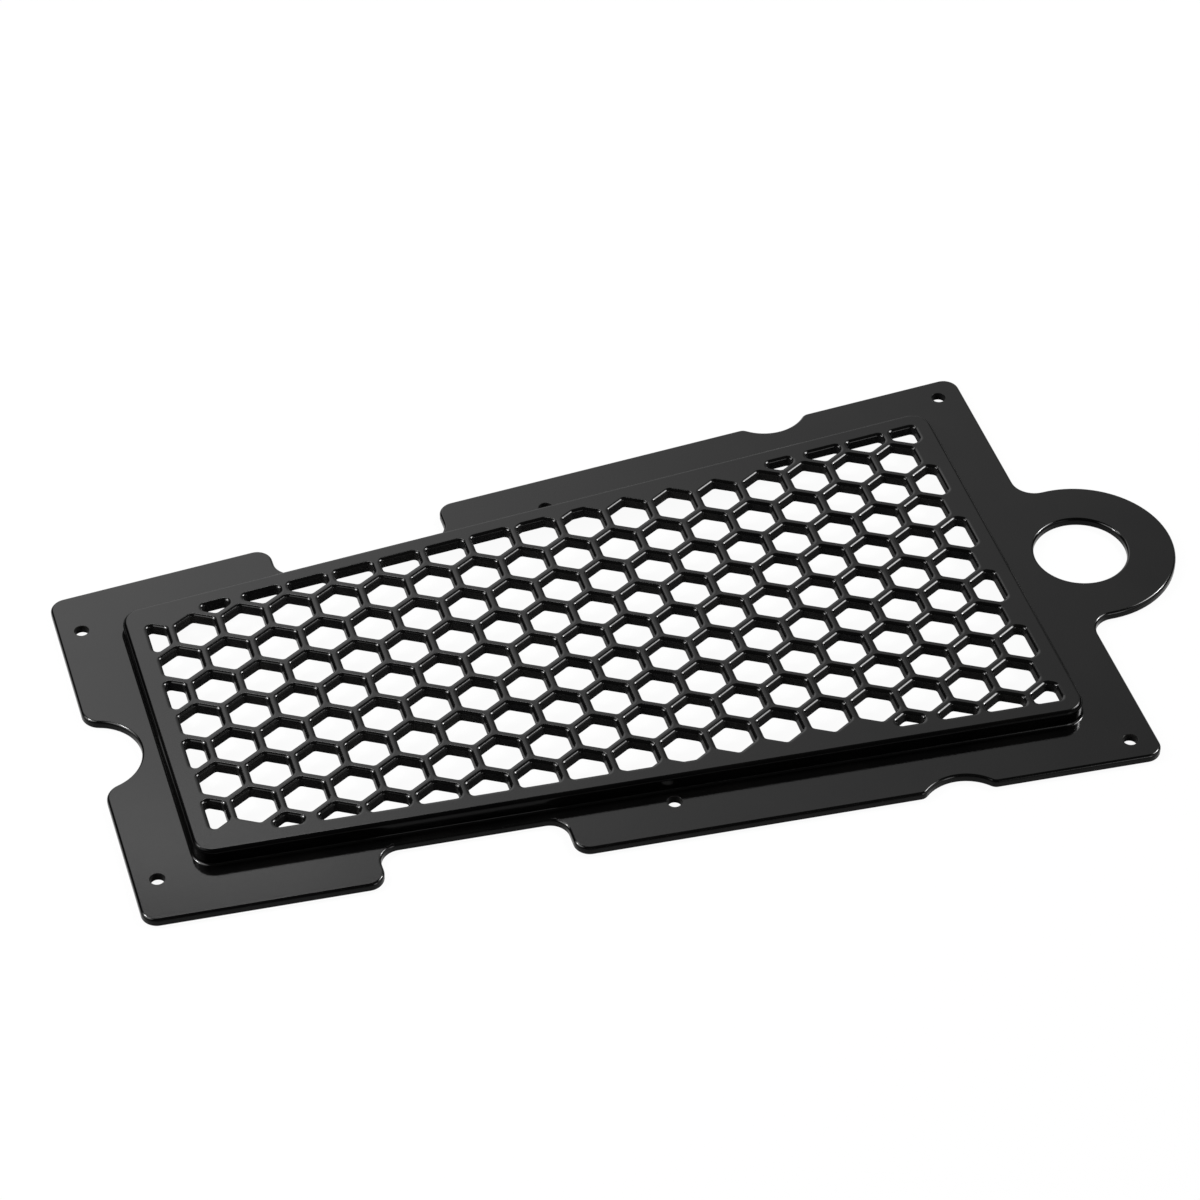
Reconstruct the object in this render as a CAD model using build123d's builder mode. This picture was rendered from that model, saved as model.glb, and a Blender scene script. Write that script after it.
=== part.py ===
from build123d import *
import os
from math import atan, cos, radians, sin, sqrt

# A motorcycle radiator guard, in millimetres: one plate with a flat flange and a raised honeycomb panel.
# It lies on its back. +X runs along its axis to the ring tab, +Z points out of its front, and the origin is
# below the middle of its overall length, on the plane of the back face.

# Flange: a plate that widens evenly from its narrow end to its wide end
flange_length = 306.2
narrow_end_width = 140.4
wide_end_width = 182.8
flange_thickness = 2.8
flange_corner_radius = 5.0
flange_edge_chamfer = 0.5

# Raised panel, whose sides run parallel to the flange's edges
panel_rise = 5.5
panel_side_margin = 17.9
panel_narrow_margin = 19.4
panel_wide_margin = 17.3
panel_corner_radius = 6.5
panel_edge_round = 1.3
panel_root_round = 0.8

# Pocket behind the panel, which leaves the panel's wall and the grille
panel_wall = 2.2
pocket_rim_chamfer = 1.6
grille_thickness = 3.6

# Honeycomb: six-sided cells with two flat sides across the axis
cell_pitch = 15.0
cell_width = 12.1
cell_origin_from_narrow_end = 145.5
grille_border = 6.0
grille_narrow_extra = 0.6
smallest_opening = 4.4

# Ring tab on the wide end
ring_bore = 29.4
ring_wall = 15.1
ring_reach = 8.8
ring_root_round = 7.0

# Half-round notch in the narrow end
end_notch_land = 5.1
end_notch_lip_round = 6.0

# Step notch in each long side
step_start = 71.1
step_length = 55.8
step_land = 3.8
step_outer_round = 5.0
step_inner_round = 6.0

# Shallow arc notch in each long side
arc_notch_position = 242.5
arc_notch_radius = 14.0
arc_notch_depth = 4.8
arc_notch_lip_round = 3.0

# Fixing holes, in three pairs: set in from the narrow end, at mid length and set in from the wide end
hole_diameter = 4.3
narrow_hole_inset = 7.4
narrow_hole_margin = 16.1
middle_hole_position = 159.9
middle_hole_margin = 13.2
wide_hole_inset = 8.1
wide_hole_margin = 8.0

# Places along the axis
ring_radius = ring_bore / 2 + ring_wall
overall_length = flange_length + ring_reach + ring_radius
narrow_end_x = -overall_length / 2
wide_end_x = narrow_end_x + flange_length
ring_x = wide_end_x + ring_reach
panel_top = flange_thickness + panel_rise

# Slope of the long edges
taper = (wide_end_width - narrow_end_width) / 2 / flange_length
edge_angle = atan(taper)


def half_width(x, inset=0):
    """Distance from the axis to a line that lies inset inside the flange's long edge, at x."""
    return narrow_end_width / 2 + taper * (x - narrow_end_x) - inset / cos(edge_angle)


def border(inset, narrow_extra=0):
    """Corners of the panel's base outline drawn in by inset on every side, and further at the narrow end."""
    start = narrow_end_x + panel_narrow_margin + inset + narrow_extra
    end = wide_end_x - panel_wide_margin - inset
    start_width = half_width(start, panel_side_margin + inset)
    end_width = half_width(end, panel_side_margin + inset)
    return [(start, -start_width), (end, -end_width), (end, end_width), (start, start_width)]


def round_corners(sketch, points, radius):
    """Round the sketch's corners that lie nearest to the points."""
    fillet([sketch.vertices().sort_by_distance((x, y, 0))[0] for x, y in points], radius)


def both_sides(points):
    """The points and their mirror images across the axis."""
    return points + [(x, -y) for x, y in points]


# Outline of the step notch
step_end = step_start + step_length
step_depth = panel_side_margin - step_land
step_x = [narrow_end_x + step_start, narrow_end_x + step_end]
step_lips = [(x, half_width(x)) for x in step_x]
step_floor = [(x, half_width(x, step_depth)) for x in step_x]
step_mouth = [(x, half_width(x, -step_depth)) for x in step_x]

# Outline of the arc notch: its circle is centred outside the edge, square to it
arc_x = narrow_end_x + arc_notch_position
arc_stand_off = arc_notch_radius - arc_notch_depth
arc_half_chord = sqrt(arc_notch_radius**2 - arc_stand_off**2)
arc_centre = (arc_x - arc_stand_off * sin(edge_angle), half_width(arc_x) + arc_stand_off * cos(edge_angle))
arc_lip_x = [arc_x - arc_half_chord * cos(edge_angle), arc_x + arc_half_chord * cos(edge_angle)]
arc_lips = [(x, half_width(x)) for x in arc_lip_x]

# Corners where the ring tab and the end notch meet the flange's ends
ring_root_y = sqrt(ring_radius**2 - ring_reach**2)
end_notch_radius = panel_narrow_margin - end_notch_land

# Fixing hole centres on one side
narrow_hole_x = narrow_end_x + narrow_hole_inset
middle_hole_x = narrow_end_x + middle_hole_position
wide_hole_x = wide_end_x - wide_hole_inset
fixing_holes = [
    (narrow_hole_x, half_width(narrow_hole_x, narrow_hole_margin)),
    (middle_hole_x, half_width(middle_hole_x, middle_hole_margin)),
    (wide_hole_x, half_width(wide_hole_x, wide_hole_margin)),
]

# Cell centres: rows lie along the axis, and every second row is shifted by half a pitch
row_pitch = cell_pitch * cos(radians(30))
cell_origin_x = narrow_end_x + cell_origin_from_narrow_end
row_count = int(wide_end_width / 2 / row_pitch)
column_count = int(flange_length / cell_pitch)
cell_centres = [
    (cell_origin_x + (column + (row + 1) % 2 / 2) * cell_pitch, row * row_pitch)
    for row in range(-row_count, row_count + 1)
    for column in range(-column_count, column_count)
]

# Honeycomb, cut off at the grille's border, without the slivers that this leaves
with BuildSketch() as honeycomb:
    Polygon(*border(grille_border, grille_narrow_extra), align=None)
    with Locations(*cell_centres):
        RegularPolygon(cell_width / 2, 6, major_radius=False, rotation=30, mode=Mode.INTERSECT)
open_cells = [
    cell
    for cell in honeycomb.faces()
    if min(cell.bounding_box().size.X, cell.bounding_box().size.Y) > smallest_opening
]

with BuildPart() as guard:
    # Flange with its ring tab and its notches
    with BuildSketch() as flange:
        ends = [(narrow_end_x, narrow_end_width / 2), (wide_end_x, wide_end_width / 2)]
        Polygon(*ends, *[(x, -y) for x, y in reversed(ends)], align=None)
        fillet(flange.vertices(), flange_corner_radius)
        with Locations((ring_x, 0)):
            Circle(ring_radius)
        round_corners(flange, both_sides([(wide_end_x, ring_root_y)]), ring_root_round)
        with Locations((narrow_end_x, 0)):
            Circle(end_notch_radius, mode=Mode.SUBTRACT)
        round_corners(flange, both_sides([(narrow_end_x, end_notch_radius)]), end_notch_lip_round)
        for side in (1, -1):
            step_corners = [step_floor[0], step_floor[1], step_mouth[1], step_mouth[0]]
            Polygon(*[(x, side * y) for x, y in step_corners], align=None, mode=Mode.SUBTRACT)
        round_corners(flange, both_sides(step_lips), step_outer_round)
        round_corners(flange, both_sides(step_floor), step_inner_round)
        with Locations(*both_sides([arc_centre])):
            Circle(arc_notch_radius, mode=Mode.SUBTRACT)
        round_corners(flange, both_sides(arc_lips), arc_notch_lip_round)
    extrude(amount=flange_thickness)
    back_and_front = guard.faces().filter_by(Plane.XY)
    chamfer(back_and_front.edges(), flange_edge_chamfer)

    # Raised panel with a rounded top edge and a rounded root
    with BuildSketch(Plane.XY.offset(flange_thickness)) as panel:
        Polygon(*border(0), align=None)
        fillet(panel.vertices(), panel_corner_radius)
    extrude(amount=panel_rise)
    fillet(guard.faces().sort_by(Axis.Z)[-1].edges(), panel_edge_round)
    flange_front = guard.faces().filter_by(Plane.XY).sort_by(Axis.Z)[1]
    fillet(flange_front.inner_wires()[0].edges(), panel_root_round)

    # Pocket behind the panel, with a chamfered rim
    with BuildSketch() as pocket:
        Polygon(*border(panel_wall), align=None)
        fillet(pocket.vertices(), panel_corner_radius - panel_wall)
    extrude(amount=panel_top - grille_thickness, mode=Mode.SUBTRACT)
    back_face = guard.faces().sort_by(Axis.Z)[0]
    chamfer(back_face.inner_wires()[0].edges(), pocket_rim_chamfer)

    # Ring bore and fixing holes
    with Locations((ring_x, 0, flange_thickness)):
        Hole(ring_bore / 2)
    with Locations(*[(x, y, flange_thickness) for x, y in both_sides(fixing_holes)]):
        Hole(hole_diameter / 2)

    # Honeycomb cells through the grille
    with BuildSketch(Plane.XY.offset(panel_top)):
        add(open_cells)
    extrude(amount=-panel_top, mode=Mode.SUBTRACT)

guard.part.label = "radiator_guard"
os.makedirs("parts", exist_ok=True)
export_step(guard.part, "parts/radiator_guard.step")
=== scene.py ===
from math import acos, atan, atan2, ceil, cos, hypot, pi, radians, sin, sqrt, tan

import bmesh
import bpy
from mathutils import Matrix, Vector


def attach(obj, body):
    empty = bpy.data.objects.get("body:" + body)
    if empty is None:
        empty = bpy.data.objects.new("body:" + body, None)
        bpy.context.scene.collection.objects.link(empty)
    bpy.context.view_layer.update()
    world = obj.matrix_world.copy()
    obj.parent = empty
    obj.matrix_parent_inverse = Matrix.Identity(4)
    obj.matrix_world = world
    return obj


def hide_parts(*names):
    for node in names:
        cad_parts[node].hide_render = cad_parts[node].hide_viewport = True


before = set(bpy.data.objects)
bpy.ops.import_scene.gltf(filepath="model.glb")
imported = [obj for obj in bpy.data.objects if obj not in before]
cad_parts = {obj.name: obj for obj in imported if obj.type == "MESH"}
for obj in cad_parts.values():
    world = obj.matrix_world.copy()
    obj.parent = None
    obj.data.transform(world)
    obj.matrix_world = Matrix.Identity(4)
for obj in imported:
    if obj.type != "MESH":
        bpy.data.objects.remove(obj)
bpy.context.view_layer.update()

# The looks of the radiator guard. Its sizes are the CAD part's, in millimetres, and its edges are rounded
# here as the coated part shows them. The studio's sizes are in metres, and its angles in degrees.
MM = 0.001

# Flange
flange_length = 306.2
narrow_end_width = 140.4
wide_end_width = 182.8
flange_thickness = 2.8
flange_corner_radius = 5.0

# Raised panel and the pocket behind it
panel_rise = 5.5
panel_side_margin = 17.9
panel_narrow_margin = 19.4
panel_wide_margin = 17.3
panel_corner_radius = 6.5
panel_wall = 2.2
grille_thickness = 3.6

# Honeycomb
cell_pitch = 15.0
cell_width = 12.1
cell_origin_from_narrow_end = 145.5
grille_border = 6.0
grille_narrow_extra = 0.6
smallest_opening = 4.4

# Ring tab and the notch in the narrow end
ring_bore = 29.4
ring_wall = 15.1
ring_reach = 8.8
ring_root_round = 7.0
end_notch_land = 5.1
end_notch_lip_round = 6.0

# Step notches and arc notches in the long sides
step_start = 71.1
step_length = 55.8
step_land = 3.8
step_outer_round = 5.0
step_inner_round = 6.0
arc_notch_position = 242.5
arc_notch_radius = 14.0
arc_notch_depth = 4.8
arc_notch_lip_round = 3.0

# Fixing holes
hole_diameter = 4.3
narrow_hole_inset = 7.4
narrow_hole_margin = 16.1
middle_hole_position = 159.9
middle_hole_margin = 13.2
wide_hole_inset = 8.1
wide_hole_margin = 8.0

# Rounds on the edges. A cell's rim is wider than it is deep, by its stretch
flange_front_round = 0.85
flange_back_round = 0.6
panel_edge_round = 1.3
panel_root_round = 0.8
pocket_rim_chamfer = 1.6
pocket_rim_round = 0.5
pocket_roof_round = 1.0
ring_bore_round = 0.85
hole_edge_round = 0.25
cell_corner_round = 1.3
cut_cell_corner_round = 1.4
cell_rim_round = 0.78
cell_rim_stretch = 1.67
cell_back_round = 0.25

# Flat strip beside a round, on the ribs and elsewhere
rib_flat_run = 0.03
flat_run = 0.15

# How far a round may stand off its true curve, and how near two points count as one
line_tolerance = 0.015
same_point = 0.001

# How many steps a right angle takes in a section
steps_per_right_angle = 5
flange_steps_per_right_angle = 7

# Places along the axis
ring_radius = ring_bore / 2 + ring_wall
narrow_end_x = -(flange_length + ring_reach + ring_radius) / 2
wide_end_x = narrow_end_x + flange_length
ring_x = wide_end_x + ring_reach
panel_top = flange_thickness + panel_rise
pocket_roof = panel_top - grille_thickness
taper = (wide_end_width - narrow_end_width) / 2 / flange_length
edge_angle = atan(taper)


def half_width(x, inset=0.0):
    """Distance from the axis to a line that lies inset inside the flange's long edge, at x."""
    return narrow_end_width / 2 + taper * (x - narrow_end_x) - inset / cos(edge_angle)


def border(inset, narrow_extra=0.0):
    """Corners of the panel's base outline drawn in by inset on every side, and further at the narrow end."""
    start = narrow_end_x + panel_narrow_margin + inset + narrow_extra
    end = wide_end_x - panel_wide_margin - inset
    start_width = half_width(start, panel_side_margin + inset)
    end_width = half_width(end, panel_side_margin + inset)
    return [(start, -start_width), (end, -end_width), (end, end_width), (start, start_width)]


def belt(discs):
    """A closed line drawn tight round discs (x, y, radius), where a radius below zero is a hollow corner.

    Each point comes with the direction that faces out: (x, y, out_x, out_y).
    """
    leaving = []
    for (x1, y1, r1), (x2, y2, r2) in zip(discs, discs[1:] + discs[:1]):
        lean = acos(max(-1.0, min(1.0, (r1 - r2) / hypot(x2 - x1, y2 - y1))))
        leaving.append(atan2(y2 - y1, x2 - x1) - lean)
    line = []
    for index, (x, y, radius) in enumerate(discs):
        arriving = leaving[index - 1]
        turn = (leaving[index] - arriving) % (2 * pi)
        if radius < 0:
            turn -= 2 * pi
        steps = max(1, ceil(abs(turn) / sqrt(8 * line_tolerance / abs(radius))))
        for step in range(steps + 1):
            angle = arriving + turn * step / steps
            point = (x + radius * cos(angle), y + radius * sin(angle), cos(angle), sin(angle))
            if not line or hypot(point[0] - line[-1][0], point[1] - line[-1][1]) > same_point:
                line.append(point)
    if hypot(line[0][0] - line[-1][0], line[0][1] - line[-1][1]) < same_point:
        line.pop()
    return line


def circle(x, y, radius):
    """A round line, as belt gives it."""
    steps = ceil(2 * pi / sqrt(8 * line_tolerance / radius))
    angles = [2 * pi * step / steps for step in range(steps)]
    return [(x + radius * cos(a), y + radius * sin(a), cos(a), sin(a)) for a in angles]


def section(corners, right_angle_steps=steps_per_right_angle):
    """Round a section's corners (offset, height, radius). The solid lies to the right on the way along it.

    Each point comes with the direction that faces out: (offset, height, out, up).
    """
    ways = []
    for (d1, z1, _), (d2, z2, _) in zip(corners, corners[1:]):
        ways.append(atan2(z2 - z1, d2 - d1))
    points = [(corners[0][0], corners[0][1], -sin(ways[0]), cos(ways[0]))]
    for (offset, height, radius), way_in, way_out in zip(corners[1:-1], ways, ways[1:]):
        turn = (way_out - way_in + pi) % (2 * pi) - pi
        side = 1 if turn > 0 else -1
        reach = radius * tan(abs(turn) / 2)
        centre_offset = offset - reach * cos(way_in) - side * radius * sin(way_in)
        centre_height = height - reach * sin(way_in) + side * radius * cos(way_in)
        steps = ceil(abs(turn) / (pi / 2) * right_angle_steps - 0.001)
        for step in range(steps + 1):
            way = way_in + turn * step / steps
            out = -sin(way)
            up = cos(way)
            point_offset = centre_offset - side * radius * out
            point_height = centre_height - side * radius * up
            points.append((point_offset, point_height, out, up))
    points.append((corners[-1][0], corners[-1][1], -sin(ways[-1]), cos(ways[-1])))
    return points


def stretched(points, height, stretch):
    """Widen the part of a section above a height, so that a round there becomes a flatter one."""
    wide = []
    for offset, z, out, up in points:
        if z > height:
            size = hypot(out / stretch, up)
            wide.append((offset * stretch, z, out / stretch / size, up / size))
        else:
            wide.append((offset, z, out, up))
    return wide


def clip(polygon, a, b):
    """The part of a polygon that lies to the left of the line from a to b."""
    kept = []
    for p, q in zip(polygon, polygon[1:] + polygon[:1]):
        p_side = (b[0] - a[0]) * (p[1] - a[1]) - (b[1] - a[1]) * (p[0] - a[0])
        q_side = (b[0] - a[0]) * (q[1] - a[1]) - (b[1] - a[1]) * (q[0] - a[0])
        if p_side >= 0:
            kept.append(p)
        if p_side * q_side < 0:
            share = p_side / (p_side - q_side)
            kept.append((p[0] + share * (q[0] - p[0]), p[1] + share * (q[1] - p[1])))
    return kept


def mirrored(discs):
    """The discs' mirror images across the axis, in the opposite order."""
    return [(x, -y, radius) for x, y, radius in reversed(discs)]


# Outline of the flange, from the ring tab round the far long side to the notch in the narrow end
step_depth = panel_side_margin - step_land
step_left = narrow_end_x + step_start
step_right = step_left + step_length
arc_x = narrow_end_x + arc_notch_position
arc_stand_off = arc_notch_radius - arc_notch_depth
arc_lip_reach = arc_notch_radius + arc_notch_lip_round
arc_lip_run = sqrt(arc_lip_reach**2 - (arc_stand_off + arc_notch_lip_round) ** 2)
arc_lip_middle = arc_x + arc_notch_lip_round * sin(edge_angle)
ring_root_x = wide_end_x + ring_root_round
ring_root_y = sqrt((ring_radius + ring_root_round) ** 2 - (ring_x - ring_root_x) ** 2)
end_notch_radius = panel_narrow_margin - end_notch_land
end_lip_x = narrow_end_x + end_notch_lip_round
end_lip_y = sqrt((end_notch_radius + end_notch_lip_round) ** 2 - end_notch_lip_round**2)


def edge_disc(x, inset, radius):
    """A disc whose middle lies inset inside the far long edge, at x."""
    return (x, half_width(x, inset), radius)


far_side = [
    (ring_root_x, ring_root_y, -ring_root_round),
    edge_disc(wide_end_x - flange_corner_radius, flange_corner_radius, flange_corner_radius),
    edge_disc(arc_lip_middle + arc_lip_run * cos(edge_angle), arc_notch_lip_round, arc_notch_lip_round),
    edge_disc(arc_x - arc_stand_off * sin(edge_angle), -arc_stand_off, -arc_notch_radius),
    edge_disc(arc_lip_middle - arc_lip_run * cos(edge_angle), arc_notch_lip_round, arc_notch_lip_round),
    edge_disc(step_right + step_outer_round, step_outer_round, step_outer_round),
    edge_disc(step_right - step_inner_round, step_depth - step_inner_round, -step_inner_round),
    edge_disc(step_left + step_inner_round, step_depth - step_inner_round, -step_inner_round),
    edge_disc(step_left - step_outer_round, step_outer_round, step_outer_round),
    edge_disc(narrow_end_x + flange_corner_radius, flange_corner_radius, flange_corner_radius),
    (end_lip_x, end_lip_y, end_notch_lip_round),
]
end_notch = (narrow_end_x, 0.0, -end_notch_radius)
ring = (ring_x, 0.0, ring_radius)
flange_line = belt([ring] + far_side + [end_notch] + mirrored(far_side))

# Outlines of the panel and of the pocket, whose corners share their middles
panel_line = belt([(x, y, panel_corner_radius) for x, y in border(panel_corner_radius)])
pocket_corner_radius = panel_corner_radius - panel_wall
pocket_line = belt([(x, y, pocket_corner_radius) for x, y in border(panel_corner_radius)])

# Outlines of the ring bore and of the fixing holes
narrow_hole_x = narrow_end_x + narrow_hole_inset
middle_hole_x = narrow_end_x + middle_hole_position
wide_hole_x = wide_end_x - wide_hole_inset
hole_places = [
    (narrow_hole_x, half_width(narrow_hole_x, narrow_hole_margin)),
    (middle_hole_x, half_width(middle_hole_x, middle_hole_margin)),
    (wide_hole_x, half_width(wide_hole_x, wide_hole_margin)),
]
bore_line = circle(ring_x, 0.0, ring_bore / 2)
hole_lines = []
for x, y in hole_places:
    hole_lines.append(circle(x, y, hole_diameter / 2))
    hole_lines.append(circle(x, -y, hole_diameter / 2))

# Cells: rows lie along the axis, and every second row is shifted by half a pitch
row_pitch = cell_pitch * cos(radians(30))
cell_height = cell_width / cos(radians(30))
cell_origin_x = narrow_end_x + cell_origin_from_narrow_end
row_count = int(wide_end_width / 2 / row_pitch)
column_count = int(flange_length / cell_pitch)


def cell_corners(x, y, inset):
    """Corners of the cell at x, y, cut off at the grille's border, with both drawn in by inset."""
    reach = (cell_width / 2 - inset) / cos(radians(30))
    angles = [radians(30 + 60 * corner) for corner in range(6)]
    cell = [(x + reach * cos(a), y + reach * sin(a)) for a in angles]
    edges = border(grille_border + inset, grille_narrow_extra)
    for a, b in zip(edges, edges[1:] + edges[:1]):
        cell = clip(cell, a, b)
    return cell


# Outlines of the cells, without the slivers that the border leaves. A cell counts as whole above this share
whole_share = 0.987
cell_lines = []
for row in range(-row_count, row_count + 1):
    for column in range(-column_count, column_count):
        x = cell_origin_x + (column + (row + 1) % 2 / 2) * cell_pitch
        y = row * row_pitch
        cell = cell_corners(x, y, 0)
        if len(cell) < 3:
            continue
        size_x = max(corner[0] for corner in cell) - min(corner[0] for corner in cell)
        size_y = max(corner[1] for corner in cell) - min(corner[1] for corner in cell)
        if min(size_x, size_y) > smallest_opening:
            is_whole = size_x > whole_share * cell_width and size_y > whole_share * cell_height
            corner_round = cell_corner_round if is_whole else cut_cell_corner_round
            middles = cell_corners(x, y, corner_round)
            cell_lines.append(belt([(middle_x, middle_y, corner_round) for middle_x, middle_y in middles]))

# Sections through the edges: an outer edge's runs from front to back, and a hole's from back to front
flange_section = section([
    (-flange_front_round - flat_run, flange_thickness, 0),
    (0, flange_thickness, flange_front_round),
    (0, 0, flange_back_round),
    (-flange_back_round - flat_run, 0, 0),
], flange_steps_per_right_angle)
panel_section = section([
    (-panel_edge_round - flat_run, panel_top, 0),
    (0, panel_top, panel_edge_round),
    (0, flange_thickness, panel_root_round),
    (panel_root_round + flat_run, flange_thickness, 0),
])
pocket_section = section([
    (pocket_rim_chamfer + pocket_rim_round, 0, 0),
    (pocket_rim_chamfer, 0, pocket_rim_round),
    (0, pocket_rim_chamfer, pocket_rim_round),
    (0, pocket_roof, pocket_roof_round),
    (-pocket_roof_round - flat_run, pocket_roof, 0),
])
bore_section = section([
    (flange_back_round + flat_run, 0, 0),
    (0, 0, flange_back_round),
    (0, flange_thickness, ring_bore_round),
    (ring_bore_round + flat_run, flange_thickness, 0),
])
hole_section = section([
    (hole_edge_round + flat_run, 0, 0),
    (0, 0, hole_edge_round),
    (0, flange_thickness, hole_edge_round),
    (hole_edge_round + flat_run, flange_thickness, 0),
])
cell_section = section([
    (cell_back_round + flat_run, pocket_roof, 0),
    (0, pocket_roof, cell_back_round),
    (0, panel_top, cell_rim_round),
    (cell_rim_round + rib_flat_run, panel_top, 0),
])
cell_section = stretched(cell_section, panel_top - cell_rim_round, cell_rim_stretch)

# Coats by their place in the mesh's list: on what faces up, and painted shade on outer walls and inside the
# cells, whose copies of the coat reflect less
FRONT_COAT = 0
EDGE_COAT = 1
CELL_COAT = 2

# How much a face may face up and still take the wall's coat, which paints shade on it: 0 is upright, 1 is
# flat
flange_wall_lean = 0.5
hole_wall_lean = 0.95
panel_wall_lean = 0.9
panel_root_lean = 0.3
cell_wall_lean = 0.3

mesh = bmesh.new()
normals = []


def sweep(line, profile, wall_coat, wall_lean, foot_lean=None):
    """Carry a section along a closed line, and return the vertices of its first and its last edge.

    Faces that face up less than wall_lean take the wall's coat, a copy that paints shade by reflecting less.
    In the section's lower half foot_lean may hold in its place.
    """
    middle = (profile[0][1] + profile[-1][1]) / 2
    rings = []
    for offset, height, out, up in profile:
        ring = []
        for x, y, out_x, out_y in line:
            place = Vector((x + offset * out_x, y + offset * out_y, height))
            ring.append(mesh.verts.new(place * MM))
            normals.append((out * out_x, out * out_y, up))
        rings.append(ring)
    for ring, next_ring, point, next_point in zip(rings, rings[1:], profile, profile[1:]):
        is_foot = foot_lean is not None and point[1] + next_point[1] < 2 * middle
        lean = foot_lean if is_foot else wall_lean
        is_wall = point[3] + next_point[3] < 2 * lean
        for index in range(len(line)):
            corners = (ring[index - 1], next_ring[index - 1], next_ring[index], ring[index])
            face = mesh.faces.new(corners)
            face.material_index = wall_coat if is_wall else FRONT_COAT
    return rings[0], rings[-1]


def fill(outer, holes, up):
    """Close a flat face between an outer edge and the edges of its holes."""
    edges = []
    for ring in [outer] + holes:
        for index in range(len(ring)):
            edges.append(mesh.edges.get((ring[index - 1], ring[index])))
    made = bmesh.ops.triangle_fill(mesh, use_beauty=True, edges=edges, normal=(0, 0, up))
    for face in made["geom"]:
        if isinstance(face, bmesh.types.BMFace):
            face.normal_update()
            if face.normal.z * up < 0:
                face.normal_flip()


flange_front, flange_back = sweep(flange_line, flange_section, EDGE_COAT, flange_wall_lean)
panel_front, panel_foot = sweep(panel_line, panel_section, EDGE_COAT, panel_wall_lean, panel_root_lean)
pocket_mouth, pocket_back = sweep(pocket_line, pocket_section, CELL_COAT, cell_wall_lean)
hole_ends = [sweep(bore_line, bore_section, EDGE_COAT, flange_wall_lean)]
hole_ends += [sweep(line, hole_section, CELL_COAT, hole_wall_lean) for line in hole_lines]
cell_ends = [sweep(line, cell_section, CELL_COAT, cell_wall_lean) for line in cell_lines]
fill(panel_front, [front for back, front in cell_ends], 1)
fill(flange_front, [panel_foot] + [front for back, front in hole_ends], 1)
fill(flange_back, [pocket_mouth] + [back for back, front in hole_ends], -1)
fill(pocket_back, [back for back, front in cell_ends], -1)

guard_mesh = bpy.data.meshes.new("radiator_guard_coated")
mesh.to_mesh(guard_mesh)
mesh.free()
for face in guard_mesh.polygons:
    face.use_smooth = True
guard_mesh.normals_split_custom_set_from_vertices(normals)
guard = bpy.data.objects.new("radiator_guard_coated", guard_mesh)
bpy.context.scene.collection.objects.link(guard)

# Fineness of the coat's mottle and grain, the grain's height, and the mottle's ends as shares of the grey
mottle_scale = 60.0
grain_scale = 2200.0
grain_height = 0.0001
dark_share = (0.65, 0.65, 0.7)
light_share = (1.35, 1.3, 1.25)


def coat(name, specular, least_roughness, most_roughness, peel_strength, grey):
    """Black coat with a fine orange peel and a soft mottle round a level of grey."""
    material = bpy.data.materials.new(name)
    material.use_nodes = True
    nodes = material.node_tree.nodes
    links = material.node_tree.links
    shader = nodes["Principled BSDF"]
    shader.inputs["Specular IOR Level"].default_value = specular
    place = nodes.new("ShaderNodeTexCoord")

    mottle = nodes.new("ShaderNodeTexNoise")
    mottle.inputs["Scale"].default_value = mottle_scale
    mottle.inputs["Detail"].default_value = 4.0
    links.new(place.outputs["Object"], mottle.inputs["Vector"])
    tone = nodes.new("ShaderNodeValToRGB")
    tone.color_ramp.elements[0].position = 0.3
    tone.color_ramp.elements[0].color = [share * grey for share in dark_share] + [1]
    tone.color_ramp.elements[1].position = 0.7
    tone.color_ramp.elements[1].color = [share * grey for share in light_share] + [1]
    links.new(mottle.outputs["Fac"], tone.inputs["Fac"])
    links.new(tone.outputs["Color"], shader.inputs["Base Color"])

    grain = nodes.new("ShaderNodeTexNoise")
    grain.inputs["Scale"].default_value = grain_scale
    grain.inputs["Detail"].default_value = 2.0
    links.new(place.outputs["Object"], grain.inputs["Vector"])
    roughness = nodes.new("ShaderNodeMapRange")
    roughness.inputs["To Min"].default_value = least_roughness
    roughness.inputs["To Max"].default_value = most_roughness
    links.new(grain.outputs["Fac"], roughness.inputs["Value"])
    links.new(roughness.outputs["Result"], shader.inputs["Roughness"])
    peel = nodes.new("ShaderNodeBump")
    peel.inputs["Strength"].default_value = peel_strength
    peel.inputs["Distance"].default_value = grain_height
    links.new(grain.outputs["Fac"], peel.inputs["Height"])
    links.new(peel.outputs["Normal"], shader.inputs["Normal"])
    return material


# Painted shade: outer walls and the cells take darker copies of the coat that reflect less than what faces
# up, and the cells' copy reflects almost nothing and has a lighter grey in its place
guard_mesh.materials.append(coat("black_coat", 0.5, 0.06, 0.12, 0.1, 0.0018))
guard_mesh.materials.append(coat("black_coat_on_edges_painted_shade", 0.07, 0.12, 0.2, 0.06, 0.0018))
guard_mesh.materials.append(coat("black_coat_in_cells_painted_shade", 0.006, 0.15, 0.25, 0.06, 0.012))

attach(guard, "root")
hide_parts("radiator_guard")

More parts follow.
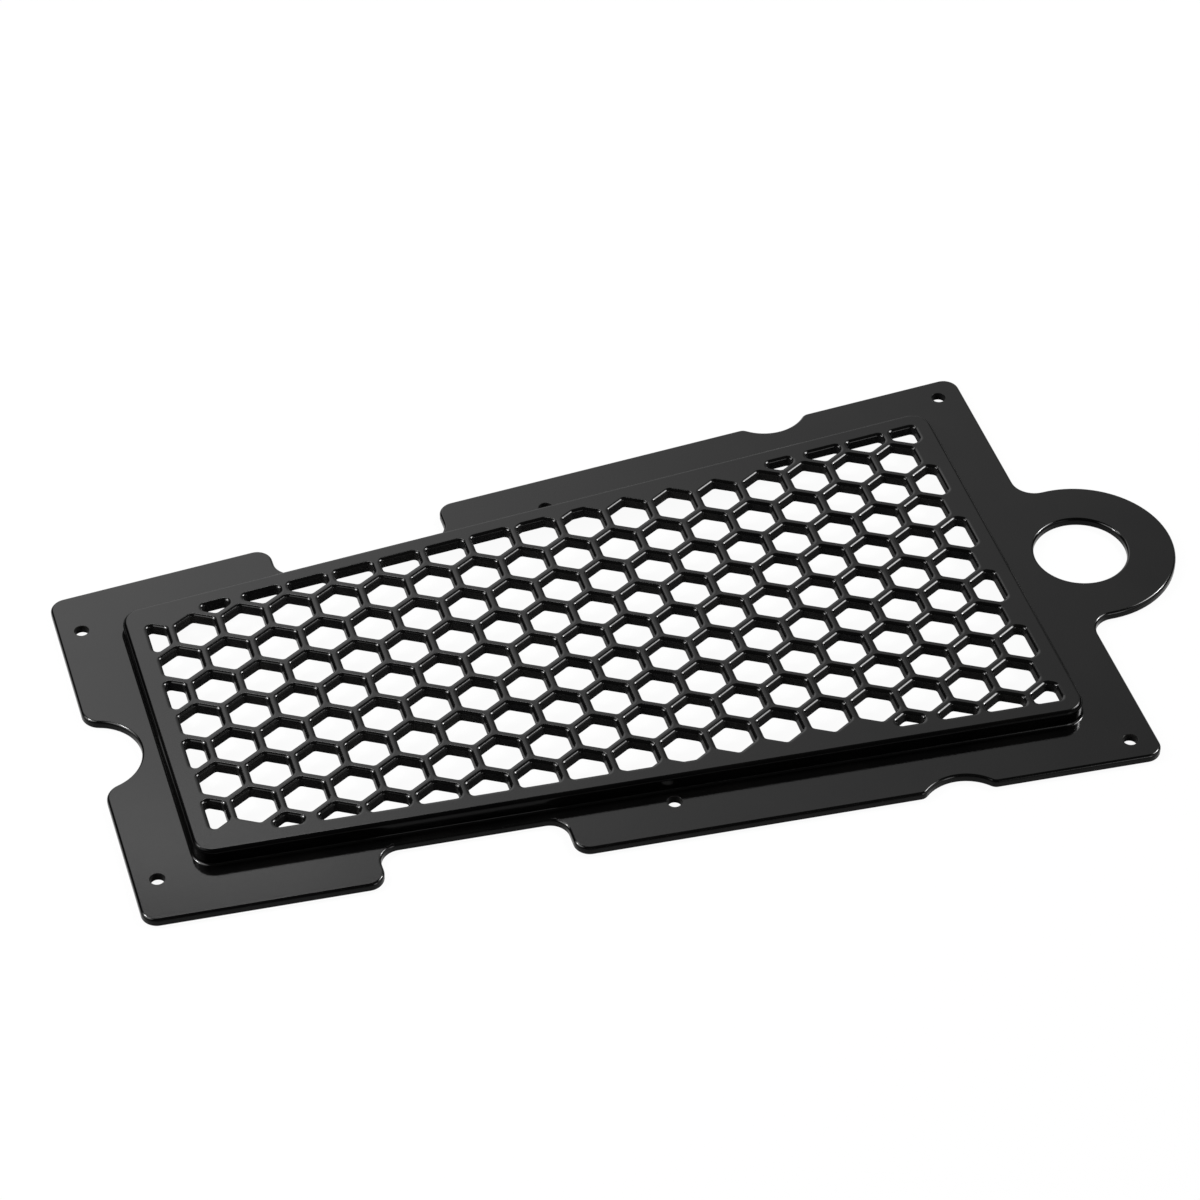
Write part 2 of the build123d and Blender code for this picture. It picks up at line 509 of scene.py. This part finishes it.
# Floor: pale, and white to the eye and in reflections, with a faint shadow
floor_size = 20.0
floor_drop = 0.0002
floor_tone = 0.9
floor_glow = 0.95
bpy.ops.mesh.primitive_plane_add(size=floor_size, location=(0, 0, -floor_drop))
floor = bpy.context.object
floor.name = "floor"
paper = bpy.data.materials.new("white_paper")
paper.use_nodes = True
floor_nodes = paper.node_tree.nodes
floor_links = paper.node_tree.links
floor_nodes.clear()
matt = floor_nodes.new("ShaderNodeBsdfDiffuse")
matt.inputs["Color"].default_value = (floor_tone, floor_tone, floor_tone, 1)
glow = floor_nodes.new("ShaderNodeEmission")
glow.inputs["Strength"].default_value = 1.0
ray = floor_nodes.new("ShaderNodeLightPath")
seen = floor_nodes.new("ShaderNodeMath")
seen.operation = "ADD"
floor_links.new(ray.outputs["Is Camera Ray"], seen.inputs[0])
floor_links.new(ray.outputs["Is Glossy Ray"], seen.inputs[1])
seen_all = floor_nodes.new("ShaderNodeMath")
seen_all.operation = "ADD"
seen_all.use_clamp = True
floor_links.new(seen.outputs[0], seen_all.inputs[0])
floor_links.new(ray.outputs["Is Transmission Ray"], seen_all.inputs[1])
glow_share = floor_nodes.new("ShaderNodeMath")
glow_share.operation = "MULTIPLY"
glow_share.inputs[1].default_value = floor_glow
floor_links.new(seen_all.outputs[0], glow_share.inputs[0])
both = floor_nodes.new("ShaderNodeMixShader")
floor_links.new(glow_share.outputs[0], both.inputs["Fac"])
floor_links.new(matt.outputs[0], both.inputs[1])
floor_links.new(glow.outputs[0], both.inputs[2])
floor_out = floor_nodes.new("ShaderNodeOutputMaterial")
floor_links.new(both.outputs[0], floor_out.inputs["Surface"])
floor.data.materials.append(paper)

# World: a dim, even room
world = bpy.data.worlds.new("studio")
world.use_nodes = True
world.node_tree.nodes["Background"].inputs["Color"].default_value = (1, 1, 1, 1)
world.node_tree.nodes["Background"].inputs["Strength"].default_value = 0.03
bpy.context.scene.world = world


def softbox(name, azimuth, elevation, stand_off, half_wide, half_high, radiance):
    """A flat studio light that faces the guard, from a direction in degrees and a distance in metres."""
    east = cos(radians(elevation)) * cos(radians(azimuth))
    north = cos(radians(elevation)) * sin(radians(azimuth))
    place = Vector((east, north, sin(radians(elevation)))) * stand_off
    light = bpy.data.lights.new(name, "AREA")
    light.shape = "RECTANGLE"
    light.size = 2 * half_wide
    light.size_y = 2 * half_high
    light.energy = radiance * light.size * light.size_y * pi
    light.use_nodes = True
    lamp = bpy.data.objects.new(name, light)
    lamp.location = place
    lamp.rotation_mode = "QUATERNION"
    lamp.rotation_quaternion = place.to_track_quat("Z", "Y")
    lamp.visible_camera = False
    bpy.context.scene.collection.objects.link(lamp)
    return light.node_tree


# Heights on a light, from 0 at its lower edge to 1, between which it rises from its foot's share
rise_start = 0.2
rise_end = 0.7


def fade_across(tree, shares, foot_share):
    """Give a light the shares of its full strength, at even steps across its width from its right end.

    Towards its lower edge the light falls to the foot's share of that.
    """
    across = tree.nodes.new("ShaderNodeNewGeometry")
    split = tree.nodes.new("ShaderNodeSeparateXYZ")
    tree.links.new(across.outputs["Parametric"], split.inputs["Vector"])
    fade = tree.nodes.new("ShaderNodeValToRGB")
    stops = fade.color_ramp.elements
    steps = len(shares) - 1
    for index in range(1, steps):
        stops.new(index / steps)
    for stop, share in zip(stops, shares):
        stop.color = (share, share, share, 1)
    tree.links.new(split.outputs["X"], fade.inputs["Fac"])
    rise = tree.nodes.new("ShaderNodeMapRange")
    rise.inputs["From Min"].default_value = rise_start
    rise.inputs["From Max"].default_value = rise_end
    rise.inputs["To Min"].default_value = foot_share
    tree.links.new(split.outputs["Y"], rise.inputs["Value"])
    strength = tree.nodes.new("ShaderNodeMath")
    strength.operation = "MULTIPLY"
    tree.links.new(fade.outputs["Color"], strength.inputs[0])
    tree.links.new(rise.outputs["Result"], strength.inputs[1])
    tree.links.new(strength.outputs[0], tree.nodes["Emission"].inputs["Strength"])


def fade_outwards(tree, soft_share):
    """Let a round light fall softly to nothing over the outer share of its radius."""
    across = tree.nodes.new("ShaderNodeNewGeometry")
    from_middle = tree.nodes.new("ShaderNodeVectorMath")
    from_middle.operation = "DISTANCE"
    from_middle.inputs[1].default_value = (0.5, 0.5, 0)
    tree.links.new(across.outputs["Parametric"], from_middle.inputs[0])
    fade = tree.nodes.new("ShaderNodeMapRange")
    fade.interpolation_type = "SMOOTHSTEP"
    fade.inputs["From Min"].default_value = 0.5
    fade.inputs["From Max"].default_value = 0.5 * (1 - soft_share)
    tree.links.new(from_middle.outputs["Value"], fade.inputs["Value"])
    tree.links.new(fade.outputs["Result"], tree.nodes["Emission"].inputs["Strength"])


# The back light is what the flat faces show, and it fades to the right
back_light = softbox("back_light", 69.3, 25.0, 1.4, 0.955, 0.68, 1.56)
fade_across(back_light, [0.3, 0.11, 0.43, 1.0, 0.57], 0.6)

# A broad light at the right draws streaks along the cells' rims, and a small one dots at their left ends
right_light = softbox("right_light", 14.5, 49.6, 2.84, 1.18, 0.63, 14.4)
fade_outwards(right_light, 0.9)
right_lamp = softbox("right_lamp", 13.0, 42.0, 1.5, 0.13, 0.13, 58.0)
fade_outwards(right_lamp, 0.3)

# A small lamp near the narrow end makes the dots in the cells' right corners
left_lamp = softbox("left_lamp", 163.0, 44.5, 0.53, 0.045, 0.045, 65.0)
fade_outwards(left_lamp, 0.3)

# Weaker lights behind, at the left and in front fill the other edges
rear_light = softbox("rear_light", 140.8, 55.9, 1.56, 0.4, 0.4, 2.0)
fade_outwards(rear_light, 0.5)
edge_light = softbox("edge_light", 94.9, 53.1, 1.2, 0.2, 0.18, 0.65)
fade_outwards(edge_light, 0.6)
strip_light = softbox("strip_light", 97.0, 58.5, 1.2, 0.3, 0.06, 6.0)
fade_outwards(strip_light, 0.5)
left_light = softbox("left_light", 176.2, 41.9, 1.0, 0.57, 0.57, 2.9)
fade_outwards(left_light, 0.6)
front_light = softbox("front_light", -43.9, 15.0, 1.0, 0.71, 0.71, 0.4)
fade_outwards(front_light, 0.6)
near_light = softbox("near_light", -62.0, 14.0, 1.0, 0.25, 0.26, 2.2)
fade_outwards(near_light, 0.6)

# Camera, at the photograph's viewing angle
camera_data = bpy.data.cameras.new("camera")
camera_data.sensor_width = 36.0
camera_data.lens = 123.42
camera = bpy.data.objects.new("camera", camera_data)
camera.location = (-0.27724, -0.87259, 0.87085)
camera.rotation_euler = (radians(47.0909), radians(0.0459), radians(-16.7728))
bpy.context.scene.collection.objects.link(camera)
bpy.context.scene.camera = camera
bpy.context.scene.view_settings.view_transform = "Standard"
